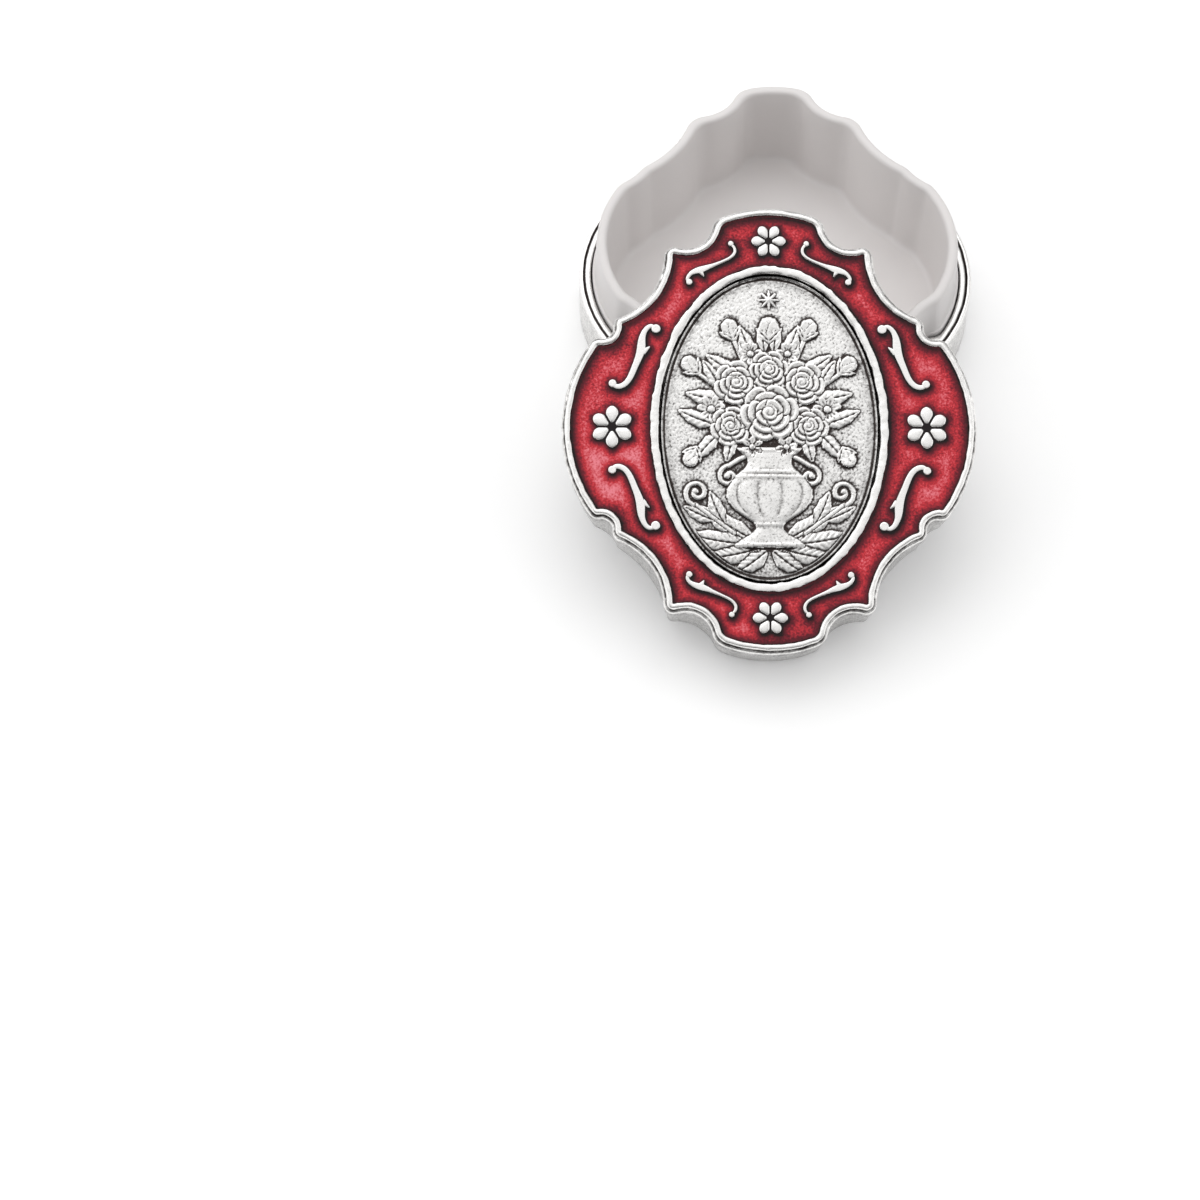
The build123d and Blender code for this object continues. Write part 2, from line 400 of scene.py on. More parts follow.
def antiqued_silver(name="Antiqued cast silver", speckle=0.0, polish=0.14):
    """Silver plate, bright on the high points, with dark patina where `tarnish_and_shade` is painted; on the
    plaque this also holds painted shade on the slopes and towards the bottom.
    """
    material, nodes, links, shader = new_material(name)
    if nodes is None:
        return material
    finish = bpy.context.scene.rosary_finish
    silver, dark = tuple(finish.silver), tuple(finish.tarnish_and_shade)
    coordinates = nodes.new("ShaderNodeTexCoord").outputs["Object"]
    painted = read_paint(nodes, "tarnish_and_shade")
    cloud = add_noise(nodes, links, coordinates, 520, 4, 0.6)
    fine = add_noise(nodes, links, coordinates, 2400, 3, 0.65)
    uneven = around_zero(nodes, links, cloud, 0.9)
    uneven = maths(nodes, links, "MULTIPLY", uneven, maths(nodes, links, "ADD", painted, 0.15))
    amount = maths(nodes, links, "ADD", painted, uneven)
    worn = around_zero(nodes, links, fine, 2.2)
    worn = maths(nodes, links, "MULTIPLY", worn, maths(nodes, links, "MINIMUM", painted, 0.4))
    amount = maths(nodes, links, "ADD", amount, worn)
    if speckle:
        spots = ramp(nodes, links, fine, [(0.56, (0, 0, 0)), (0.7, (1, 1, 1))])
        amount = maths(nodes, links, "ADD", amount, maths(nodes, links, "MULTIPLY", spots, speckle))
    colour = ramp(
        nodes, links, amount,
        [
            (0.06, silver),
            (0.3, blend_colours(silver, dark, 0.42)),
            (0.6, blend_colours(silver, dark, 0.82)),
            (0.9, dark),
        ],
    )
    links.new(colour, shader.inputs["Base Color"])
    shader.inputs["Metallic"].default_value = 1.0
    rough = maths(nodes, links, "MULTIPLY_ADD", fine, 0.25)
    rough.node.inputs[2].default_value = polish
    links.new(rough, shader.inputs["Roughness"])
    add_bump(nodes, links, shader, fine, 0.4, 0.00006)
    return material


def red_enamel():
    """Translucent red enamel over a rough ground, deep against the metal round it, with painted shadow in
    front of the bead and bezel and a painted sheen towards the left.
    """
    material, nodes, links, shader = new_material("Red enamel")
    if nodes is None:
        return material
    finish = bpy.context.scene.rosary_finish
    coordinates = nodes.new("ShaderNodeTexCoord").outputs["Object"]
    # The clearness holds the enamel's depth against the metal, with painted shadow in front of the rims and
    # painted sheen at the left.
    clearness_with_shade_and_sheen = read_paint(nodes, "clearness_with_shade_and_sheen")
    cloud = add_noise(nodes, links, coordinates, 110, 3, 0.5)
    grain = add_noise(nodes, links, coordinates, 2500, 4, 0.7)
    mottle, fibre = around_zero(nodes, links, cloud, 1.1), around_zero(nodes, links, grain, 2.3)
    texture = maths(nodes, links, "ADD", mottle, fibre)
    texture = maths(nodes, links, "MULTIPLY", texture, clearness_with_shade_and_sheen)
    amount = maths(nodes, links, "ADD", clearness_with_shade_and_sheen, texture)
    body, glow, deep = tuple(finish.enamel), tuple(finish.enamel_glow_and_sheen), tuple(finish.enamel_deep_and_shade)
    colour = ramp(
        nodes, links, amount,
        [
            (0.05, (0.006, 0.001, 0.002)),
            (0.14, blend_colours((0, 0, 0), deep, 0.5)),
            (0.26, deep),
            (0.4, blend_colours(deep, body, 0.5)),
            (0.56, body),
            (0.92, glow),
        ],
    )
    links.new(colour, shader.inputs["Base Color"])
    shader.inputs["Roughness"].default_value = 0.42
    shader.inputs["Coat Weight"].default_value = 0.25
    shader.inputs["Coat Roughness"].default_value = 0.2
    shader.inputs["Specular IOR Level"].default_value = 0.14
    add_bump(nodes, links, shader, grain, 0.35, 0.00006)
    return material


def tray_plastic():
    """White moulded plastic with a faint mould texture."""
    material, nodes, links, shader = new_material("White moulded plastic")
    if nodes is None:
        return material
    white = tuple(bpy.context.scene.rosary_finish.plastic)
    coordinates = nodes.new("ShaderNodeTexCoord").outputs["Object"]
    cloud = add_noise(nodes, links, coordinates, 60, 3, 0.5)
    fine = add_noise(nodes, links, coordinates, 2200, 2, 0.5)
    colour = ramp(nodes, links, cloud, [(0.3, blend_colours(white, (0, 0, 0), 0.03)), (0.7, white)])
    links.new(colour, shader.inputs["Base Color"])
    shader.inputs["Roughness"].default_value = 0.38
    shader.inputs["Specular IOR Level"].default_value = 0.45
    add_bump(nodes, links, shader, fine, 0.15, 0.00003)
    return material


# ---------------------------------------------------------------- the base


class ROSARYBOX_OT_base_cup(bpy.types.Operator):
    """Cast cup: bevelled foot, plain wall, and a ledge with a dark line near its edge"""

    bl_idname = "rosarybox.base_cup"
    bl_label = "Base cup"

    def execute(self, context):
        profile = [
            # inset, height, tarnish, corner
            (0.9, 0.0, 0.3, 0), (0.5, 0.0, 0.3, 0), (0.2, 0.12, 0.3, 0), (0.04, 0.38, 0.25, 0),
            (0.02, 0.75, 0.26, 0), (0.02, 2.5, 0.22, 0), (0.02, 5.0, 0.22, 0), (0.02, 7.5, 0.22, 0),
            (0.02, 9.6, 0.18, 0), (0.06, 9.95, 0.0, 0), (0.2, 10.14, 0.0, 0), (0.42, 10.2, 0.0, 0),
            (0.66, 10.18, 0.1, 0), (0.78, 10.04, 0.9, 0), (0.9, 9.94, 1.0, 0),
            (1.02, 9.98, 1.0, 0), (1.12, 10.14, 0.6, 0), (1.28, 10.2, 0.05, 0),
            (1.7, 10.2, 0.05, 0), (2.0, 10.18, 0.25, 1.2), (2.16, 10.1, 0.8, 2.5),
            (2.24, 9.85, 1.0, 2.5), (2.26, 9.0, 1.0, 2.5), (2.3, 1.2, 0.5, 2.5),
        ]
        rings = []
        for inset, z, _, corner in profile:
            ring = outline_ring(inset, corner)
            if 0.05 < inset < 1.9 and z > 9:
                ring = ring + inward(ring) * wobble(ring, z, 1.6, 3.1)[:, None] * 0.05
            rings.append(lift(ring, z))
        cup = wall_of_rings("base_cup", rings)
        paint_rings(cup, "tarnish_and_shade", rings, [t for _, _, t, _ in profile])
        finish_piece(cup, "base", antiqued_silver(), node="base_shell")
        return {"FINISHED"}


class ROSARYBOX_OT_tray(bpy.types.Operator):
    """White tray: foot in the cup, neck that leans in, rounded rim and rounded floor"""

    bl_idname = "rosarybox.tray"
    bl_label = "Tray"

    def execute(self, context):
        profile = [
            # inset, height, ease: how much fuller the scoops are than the cup's
            (2.42, 1.3, 0), (2.42, 6.0, 0), (2.42, 10.6, 0), (2.46, 10.86, 0), (2.6, 10.98, 0.06),
            (2.7, 11.02, 0.12), (2.78, 11.12, 0.2), (2.82, 11.4, 0.25), (2.94, 14.0, 0.4),
            (3.1, 17.0, 0.52), (3.22, 19.2, 0.6), (3.27, 19.46, 0.6), (3.38, 19.7, 0.6),
            (3.58, 19.88, 0.6), (3.84, 19.97, 0.6), (4.12, 20.0, 0.6), (4.42, 19.99, 0.6),
            (4.7, 19.92, 0.6), (4.92, 19.76, 0.6), (5.06, 19.52, 0.6), (5.14, 19.2, 0.6),
            (5.3, 16.0, 0.6), (5.45, 12.0, 0.6), (5.62, 8.0, 0.6), (5.75, 4.6, 0.6),
            (5.83, 3.4, 0.6), (5.95, 2.9, 0.6), (6.2, 2.52, 0.6), (6.6, 2.29, 0.6),
            (7.1, 2.21, 0.6), (7.6, 2.2, 0.6),
        ]
        rings = [lift(outline_ring(i, 2.5 + 2.5 * e, e, 0, 1.7 * e), z) for i, z, e in profile]
        tray = wall_of_rings("tray", rings)
        finish_piece(tray, "base", tray_plastic(), node="base_liner")
        return {"FINISHED"}


# ---------------------------------------------------------------- the lid


class ROSARYBOX_OT_lid_casting(bpy.types.Operator):
    """Cast lid: skirt, textured step, hammered bead, recess for the enamel and oval bezel"""

    bl_idname = "rosarybox.lid_casting"
    bl_label = "Lid casting"

    def execute(self, context):
        lid = context.scene.rosary_lid
        outer = [
            # inset, height, tarnish, waviness across, waviness up, fill of the scoops
            (1.65, -2.0, 0.4, 0, 0, 0), (1.65, -11.8, 0.35, 0, 0, 0), (1.62, -12.12, 0.3, 0, 0, 0),
            (1.5, -12.3, 0.3, 0, 0, 0), (1.22, -12.3, 0.45, 0, 0, 0.4), (1.02, -12.2, 0.5, 0, 0, 0.7),
            (0.9, -11.95, 0.5, 0, 0, 0.8), (0.82, -11.4, 0.4, 0, 0, 0.8), (0.7, -9.5, 0.34, 0, 0, 0.7),
            (0.5, -7.0, 0.31, 0, 0, 0.5), (0.26, -4.6, 0.31, 0, 0, 0.25), (0.08, -3.1, 0.38, 0, 0, 0.05),
            (0.05, -2.5, 0.42, 0.01, 0, 0), (0.05, -1.9, 0.3, 0.02, 0.03, 0),
            (0.07, -1.56, 0.16, 0.04, 0.05, 0), (0.12, -1.34, 0.1, 0.05, 0.06, 0),
            (0.24, -1.2, 0.16, 0.07, 0.06, 0), (0.36, -1.12, 0.32, 0.08, 0.06, 0),
            (0.47, -1.12, 0.55, 0.08, 0.05, 0), (0.54, -1.08, 0.66, 0.06, 0.05, 0),
            (0.58, -0.95, 0.6, 0.04, 0.04, 0), (0.6, -0.75, 0.45, 0.04, 0, 0),
            (0.61, -0.52, 0.25, 0.05, 0.02, 0), (0.64, -0.32, 0.08, 0.08, 0.03, 0),
            (0.71, -0.18, 0.0, 0.1, 0.05, 0), (0.83, -0.09, 0.0, 0.1, 0.06, 0),
            (1.02, -0.06, 0.0, 0.08, 0.06, 0), (1.2, -0.06, 0.0, 0.07, 0.06, 0),
            (1.35, -0.09, 0.0, 0.09, 0.05, 0), (1.48, -0.17, 0.08, 0.1, 0.04, 0),
            (1.57, -0.29, 0.5, 0.07, 0.02, 0), (1.63, -0.45, 1.0, 0.03, 0, 0),
            (1.65, -0.85, 1.0, 0, 0, 0),
        ]
        oval = [
            (0.0, -0.85, 1.0, 0, 0), (0.0, -0.42, 0.9, 0.05, 0), (0.04, -0.22, 0.45, 0.14, 0.02),
            (0.12, -0.1, 0.05, 0.17, 0.04), (0.26, -0.06, 0.0, 0.14, 0.055),
            (0.5, -0.055, 0.0, 0.07, 0.05), (0.84, -0.055, 0.0, 0.07, 0.05),
            (1.14, -0.08, 0.0, 0.15, 0.05), (1.3, -0.15, 0.1, 0.16, 0.03),
            (1.41, -0.3, 0.6, 0.1, 0.02), (1.5, -0.55, 1.0, 0, 0), (1.5, -1.4, 1.0, 0, 0),
        ]
        rings, shades = [], []

        def add(ring, z, shade, sway, heave, size, seed):
            jitter = wobble(ring, 0.4 * z, size, seed) * 1.3 + 0.6 * wobble(ring, z, size * 0.42, seed + 2)
            bounce = wobble(ring, 0, size * 0.8, seed + 5) + 0.5 * wobble(ring, z, size * 0.35, seed + 9)
            worn = wobble(ring, 0, 2.6, seed + 3) + 0.6 * wobble(ring, z, 0.7, seed + 4)
            ring = ring + inward(ring) * (jitter * sway)[:, None]
            rings.append(lift(ring, np.minimum(z + bounce * heave, 0.0)))
            streaks = 1.1 if z > -2.7 else 0.2  # the step and bead are streaky, the skirt is plain
            shades.append(np.clip(shade + worn * streaks * min(shade, 0.7), 0, 1))

        for inset, z, shade, sway, heave, fill in outer:
            add(outline_ring(inset, fill=fill), z, shade, sway, heave, 1.5, 7.7)
        for inset, z, shade, sway, heave in oval:
            ring = ellipse_ring(lid.bezel_x - inset, lid.bezel_y - inset)
            add(ring, z, shade, sway, heave, 1.7, 21.7)
        casting = wall_of_rings("lid_casting_detail", rings)
        paint_rings(casting, "tarnish_and_shade", rings, shades)
        finish_piece(
            casting, "lid", antiqued_silver(), lid_place(), node="lid_casting"
        )
        return {"FINISHED"}


FLOWERS = [
    # centre, radius, turn of the first petal
    ((26.8, 0.0), 3.7, 90), ((-26.8, 0.0), 3.7, 90), ((0.0, 33.1), 3.0, 0), ((0.0, -33.1), 3.0, 0),
]

SIDE_SCROLL = [
    # along the middle of the stroke, with half its width
    (19.45, 17.35, 0.37), (19.9, 17.75, 0.37), (20.5, 17.75, 0.4), (21.15, 17.15, 0.44),
    (21.6, 16.2, 0.51), (21.8, 15.2, 0.67), (21.85, 14.2, 0.78), (22.0, 13.1, 0.76),
    (22.4, 11.9, 0.63), (22.9, 10.7, 0.56), (23.35, 9.5, 0.54), (23.9, 8.3, 0.51),
    (24.7, 7.35, 0.49), (25.7, 6.95, 0.46), (26.45, 7.15, 0.41), (26.75, 7.55, 0.37),
]
SIDE_SPUR = [(21.6, 13.1, 0.55), (20.95, 13.7, 0.37), (20.4, 14.15, 0.12)]
SIDE_BEADS = [(19.35, 17.3, 0.78), (26.75, 7.6, 0.7)]
END_SCROLL = [
    (6.45, 32.5, 0.24), (6.05, 32.15, 0.27), (5.78, 31.6, 0.29), (5.82, 30.95, 0.29),
    (6.3, 30.3, 0.29), (6.95, 29.85, 0.27), (8.1, 29.3, 0.27), (9.3, 28.8, 0.32),
    (10.5, 28.3, 0.44), (11.6, 27.9, 0.61), (12.5, 27.65, 0.51), (13.3, 27.3, 0.39),
    (13.9, 26.65, 0.34), (14.05, 26.0, 0.29), (13.7, 25.65, 0.24),
]
END_SPUR = [(11.7, 27.6, 0.49), (11.4, 27.1, 0.32), (11.15, 26.7, 0.1)]
END_BEADS = [(6.5, 32.6, 0.5), (13.65, 25.7, 0.56)]


class ROSARYBOX_OT_enamel(bpy.types.Operator):
    """Enamel in the recess: a sheet from the bead to the bezel that creeps up at the metal"""

    bl_idname = "rosarybox.enamel"
    bl_label = "Enamel"

    def execute(self, context):
        lid = context.scene.rosary_lid
        wall = context.scene.rosary_outline.skirt_wall
        edge, oval = outline_ring(wall), ellipse_ring(lid.bezel_x, lid.bezel_y)
        metal = KDTree(2 * len(edge))
        for i, (x, y) in enumerate(np.concatenate([edge, oval])):
            metal.insert((x, y, 0), i)
        metal.balance()
        strokes = []
        for sx in (1, -1):
            for sy in (1, -1):
                for stroke in (SIDE_SCROLL, SIDE_SPUR, END_SCROLL, END_SPUR):
                    for a, b in zip(stroke, stroke[1:]):
                        for k in range(4):
                            x, y, r = (p + (q - p) * k / 4 for p, q in zip(a, b))
                            strokes.append((x * sx, y * sy, r))
                for x, y, r in SIDE_BEADS + END_BEADS:
                    strokes.append((x * sx, y * sy, r))
        strokes = np.array(strokes)

        def gap_to_metal(x, y):
            gap = metal.find((x, y, 0))[2]
            near = np.hypot(strokes[:, 0] - x, strokes[:, 1] - y) - strokes[:, 2]
            gap = min(gap, near.min() * 1.25)
            for (cx, cy), r, turn in FLOWERS:
                d = hypot(x - cx, y - cy)
                if d < r + 4:
                    petal = cos(6 * (atan2(y - cy, x - cx) - radians(turn)))
                    gap = min(gap, (d - r * (0.86 + 0.14 * petal)) * 1.1)
            return max(gap, 0.0)

        def clearness_with_shade_and_sheen(x, y):
            """How brightly the ground shows: not at the metal, where the enamel is deep; least in front of a
            rim, which is painted shadow; most at the left, which is painted sheen.
            """
            # Painted shadow: part of the gap is measured from a point behind and to the left, so the enamel
            # darkens in front of the bead and bezel.
            gap = 0.35 * gap_to_metal(x, y) + 0.65 * gap_to_metal(x - 0.26, y + 0.5)
            # Painted sheen: the enamel is made lighter towards the left of the lid.
            left_sheen = max(0.0, -x / 34) * min(1.0, gap / 2)
            return 1 - exp(-gap / 2.7) + 0.08 * left_sheen

        # clear holds each ring's clearness, with the painted shadow and painted sheen included.
        rings, clear = [], []
        steps = 44
        for i in range(steps + 1):
            t = i / steps
            t = t - 0.09 * sin(2 * pi * t)  # closer together at both edges
            ring = edge * (1 - t) + oval * t
            gap = np.array([gap_to_metal(x, y) for x, y in ring])
            z = -0.36 + 0.05 * np.exp(-gap / 0.3) + 0.015 * wobble(ring, 0, 2.2, 4.4)
            rings.append(lift(ring, z))
            clear.append([clearness_with_shade_and_sheen(x, y) for x, y in ring])
        sheet = wall_of_rings("enamel", [lift(edge, -0.8)] + rings + [lift(oval, -0.8)], False, False)
        edit_open_edges(sheet)
        bpy.ops.mesh.bridge_edge_loops()
        leave_edit()
        paint_rings(sheet, "clearness_with_shade_and_sheen", rings, clear)
        finish_piece(sheet, "lid", red_enamel(), lid_place(), node="lid_enamel")
        return {"FINISHED"}


class ROSARYBOX_OT_flowers(bpy.types.Operator):
    """Four flowers of six domed petals, standing a little above the enamel"""

    bl_idname = "rosarybox.flowers"
    bl_label = "Flowers"

    def execute(self, context):
        for number, ((cx, cy), radius, turn) in enumerate(FLOWERS):
            petals = []
            for k in range(6):
                deselect()
                bpy.ops.mesh.primitive_uv_sphere_add(segments=28, ring_count=16, radius=1)
                petal = bpy.context.object
                bpy.ops.object.mode_set(mode="EDIT")
                bpy.ops.mesh.select_all(action="SELECT")
                bpy.ops.mesh.bisect(
                    plane_co=(0, 0, -0.15), plane_no=(0, 0, 1), use_fill=True, clear_inner=True
                )
                bpy.ops.object.mode_set(mode="OBJECT")
                angle = radians(turn + 60 * k)
                for vertex in petal.data.vertices:
                    s, t, h = vertex.co
                    x = radius * (0.6 + 0.4 * s)
                    close = max(0.0, 1 - (max(0.0, x / radius - 0.66) / 0.34) ** 2.2) ** 0.6
                    half = min(0.577 * x - 0.05 * radius, 0.29 * radius * close)
                    y = half * t / sqrt(max(1 - s * s, 1e-6)) if abs(s) < 0.999 else 0.0
                    z = -0.42 + max(0.0, h) ** 0.45 * 0.38
                    vertex.co = Vector(
                        (cx + x * cos(angle) - y * sin(angle), cy + x * sin(angle) + y * cos(angle), z)
                    ) * MM
                petals.append(petal)
            flower = join(petals, f"flower_{number + 1}")
            height = np.array([v.co.z for v in flower.data.vertices]) / MM
            paint(flower, "tarnish_and_shade", np.clip((-0.26 - height) / 0.1, 0, 0.9))
            finish_piece(flower, "lid", antiqued_silver(), lid_place(), 50)
        return {"FINISHED"}


def stroke_piece(points):
    """A tapered stroke of metal along a smooth curve."""
    deselect()
    bpy.ops.curve.primitive_nurbs_path_add()
    path = bpy.context.object
    path.data.splines.clear()
    spline = path.data.splines.new("NURBS")
    spline.points.add(len(points) - 1)
    for point, (x, y, r) in zip(spline.points, points):
        point.co = (x * MM, y * MM, 0, 1)
        point.radius = r
    spline.order_u = 3
    spline.use_endpoint_u = True
    spline.resolution_u = 5
    path.data.dimensions = "3D"
    path.data.bevel_depth = MM
    path.data.bevel_resolution = 5
    path.data.use_fill_caps = True
    bpy.ops.object.convert(target="MESH")
    return bpy.context.object


class ROSARYBOX_OT_scrolls(bpy.types.Operator):
    """Eight scrolls with a leaf, a spur and a bead at each end"""

    bl_idname = "rosarybox.scrolls"
    bl_label = "Scrolls"

    def execute(self, context):
        kinds = {
            "side_scroll": (SIDE_SCROLL, SIDE_SPUR, SIDE_BEADS),
            "end_scroll": (END_SCROLL, END_SPUR, END_BEADS),
        }
        for name, (stem, spur, beads) in kinds.items():
            parts = [stroke_piece(stem), stroke_piece(spur)]
            for x, y, r in beads:
                deselect()
                bpy.ops.mesh.primitive_uv_sphere_add(
                    segments=20, ring_count=12, radius=r * MM, location=(x * MM, y * MM, 0)
                )
                bead = bpy.context.object
                bead.data.transform(bead.matrix_world)
                bead.matrix_world = Matrix.Identity(4)
                parts.append(bead)
            scroll = join(parts, name)
            for vertex in scroll.data.vertices:
                vertex.co.z = -0.4 * MM + 0.35 * MM * tanh(6.2 * vertex.co.z / MM)
            height = np.array([v.co.z for v in scroll.data.vertices]) / MM
            paint(scroll, "tarnish_and_shade", np.clip((-0.3 - height) / 0.1, 0, 0.9))
            for number, (sx, sy) in enumerate(((1, 1), (-1, 1), (-1, -1), (1, -1))):
                copy = scroll.copy()
                copy.data = scroll.data.copy()
                copy.name = copy.data.name = f"{name}_{number + 1}"
                context.collection.objects.link(copy)
                copy.data.transform(Matrix.Diagonal((sx, sy, 1, 1)))
                if sx * sy < 0:
                    copy.data.flip_normals()
                finish_piece(copy, "lid", antiqued_silver(), lid_place(), 50)
            bpy.data.objects.remove(scroll)
        return {"FINISHED"}


# ---------------------------------------------------------------- the plaque


class Relief:
    """A height field over the oval, built up shape by shape from back to front."""

    def __init__(self, x, y):
        self.x, self.y = x, y
        self.h = np.zeros_like(x)

    def lay(self, mask, height):
        self.h = np.where(mask, height, self.h)

    def local(self, cx, cy, angle):
        c, s = cos(angle), sin(angle)
        dx, dy = self.x - cx, self.y - cy
        return dx * c + dy * s, -dx * s + dy * c

    def petal(self, cx, cy, angle, out, length, width, base, rise=0.16, lip=0.09):
        """A cupped petal whose middle lies `out` from the flower's centre."""
        s, t = self.local(cx, cy, angle)
        s = s - out
        q = np.hypot(s / length, t / width / (1 + 0.2 * np.clip(s / length, -1, 1)))
        height = base + rise * np.sqrt(np.clip(1 - q**3, 0, 1)) + 0.1 * s / length
        height = height + lip * np.exp(-(((q - 0.8) / 0.13) ** 2)) - 0.08 * np.exp(-((q / 0.45) ** 2))
        self.lay(q < 1, height)

    def rose(self, cx, cy, size, turn=0.0, base=0.12):
        for count, out, length, width, phase, up in (
            (6, 0.62, 0.4, 0.44, 0.0, 0.0), (5, 0.4, 0.34, 0.4, 0.6, 0.1), (4, 0.2, 0.27, 0.33, 1.2, 0.19),
        ):
            for k in range(count):
                a = turn + phase + 2 * pi * k / count
                self.petal(cx, cy, a, out * size, length * size, width * size, base + up)
        r = np.hypot(self.x - cx, self.y - cy) / (0.27 * size)
        a = np.arctan2(self.y - cy, self.x - cx)
        curl = np.cos(a + turn - 7.5 * r)
        self.lay(r < 1, base + 0.36 + 0.1 * np.sqrt(np.clip(1 - r * r, 0, 1)) + 0.09 * curl * r**0.5)

    def daisy(self, cx, cy, size, turn=0.0, count=7, base=0.14):
        for k in range(count):
            a = turn + 2 * pi * k / count
            self.petal(cx, cy, a, 0.58 * size, 0.42 * size, 0.24 * size, base, 0.14, 0.04)
        r = np.hypot(self.x - cx, self.y - cy) / (0.26 * size)
        self.lay(r < 1, base + 0.14 + 0.16 * np.sqrt(np.clip(1 - r * r, 0, 1)))

    def leaf(self, cx, cy, angle, length, width, base=0.06, curl=0.0, rise=0.24):
        s, t = self.local(cx, cy, angle)
        u = s / length
        t = t - curl * u * u * length
        half = width * np.sin(pi * np.clip(u, 0, 1)) ** 0.7 * (1.25 - 0.55 * u)
        half = half * (1 - 0.14 * np.abs(np.sin(9.5 * u)))
        across = np.abs(t) / np.maximum(half, 1e-6)
        vein = np.cos((s - 0.9 * np.abs(t)) * 2 * pi / 1.15)
        swell = 0.6 + 0.4 * np.sin(pi * np.clip(u, 0, 1))
        height = base + rise * np.sqrt(np.clip(1 - np.minimum(across, 1) ** 2.5, 0, 1)) * swell
        height = height + 0.035 * vein * (across < 0.85) - 0.15 * np.exp(-((t / 0.16) ** 2)) * (u < 0.9)
        self.lay((u > 0.01) & (u < 0.99) & (across < 1), height)

    def stem(self, points, width, base=0.05, rise=0.2):
        d = np.full_like(self.x, 1e6)
        for (x0, y0), (x1, y1) in zip(points, points[1:]):
            dx, dy = x1 - x0, y1 - y0
            k = np.clip(((self.x - x0) * dx + (self.y - y0) * dy) / (dx * dx + dy * dy), 0, 1)
            d = np.minimum(d, np.hypot(self.x - x0 - k * dx, self.y - y0 - k * dy) / width)
        self.lay(d < 1, base + rise * np.sqrt(np.clip(1 - d * d, 0, 1)))

    def bud(self, cx, cy, angle, size):
        self.petal(cx, cy, angle, 0.45 * size, 0.55 * size, 0.34 * size, 0.16, 0.22, 0.0)
        for side in (0.5, -0.5):
            self.petal(cx, cy, angle + side * 0.55, 0.42 * size, 0.5 * size, 0.2 * size, 0.22, 0.14, 0.03)
        for side in (0.75, -0.75):
            self.leaf(cx, cy, angle + side, size * 0.75, 0.15 * size, 0.2, 0, 0.16)

    def curl(self, cx, cy, radius, start, turns, width, hand=1):
        """A scroll that winds in to a bead."""
        points = []
        for i in range(26):
            u = i / 25
            r = radius * (1 - 0.82 * u)
            a = start + hand * turns * 2 * pi * u
            points.append((cx + r * cos(a), cy + r * sin(a)))
        self.stem(points, width, 0.08, 0.24)
        r = np.hypot(self.x - points[-1][0], self.y - points[-1][1]) / (width * 1.35)
        self.lay(r < 1, 0.16 + 0.26 * np.sqrt(np.clip(1 - r * r, 0, 1)))

    def vase(self, cy, size):
        """A fluted vase on a foot, standing at cy."""
        v = (self.y - cy) / size
        steps = np.linspace(0, 1, 61)
        outline = np.interp(
            steps, [0, 0.06, 0.1, 0.16, 0.22, 0.27, 0.36, 0.48, 0.6, 0.72, 0.8, 0.87, 0.94, 1.0],
            [0.34, 0.34, 0.25, 0.15, 0.12, 0.18, 0.33, 0.42, 0.42, 0.33, 0.23, 0.2, 0.27, 0.33],
        )
        outline = np.convolve(np.pad(outline, 2, mode="edge"), np.ones(5) / 5, "valid")
        half = size * np.interp(v, steps, outline)
        u = np.clip(self.x / half, -1, 1)
        bulge = np.sqrt(np.clip(1 - u * u, 0, 1))
        belly = np.clip(np.minimum((v - 0.27) / 0.08, (0.68 - v) / 0.05), 0, 1)
        flutes = 0.11 * belly * (np.abs(np.cos(5.5 * np.arcsin(u))) - 0.7)
        bands = sum(np.exp(-(((v - b) / 0.014) ** 2)) for b in (0.03, 0.23, 0.71, 0.76, 0.97))
        height = 0.1 + 0.42 * bulge + flutes + 0.09 * bands
        self.lay((v > 0) & (v < 1) & (np.abs(self.x) < half), height)


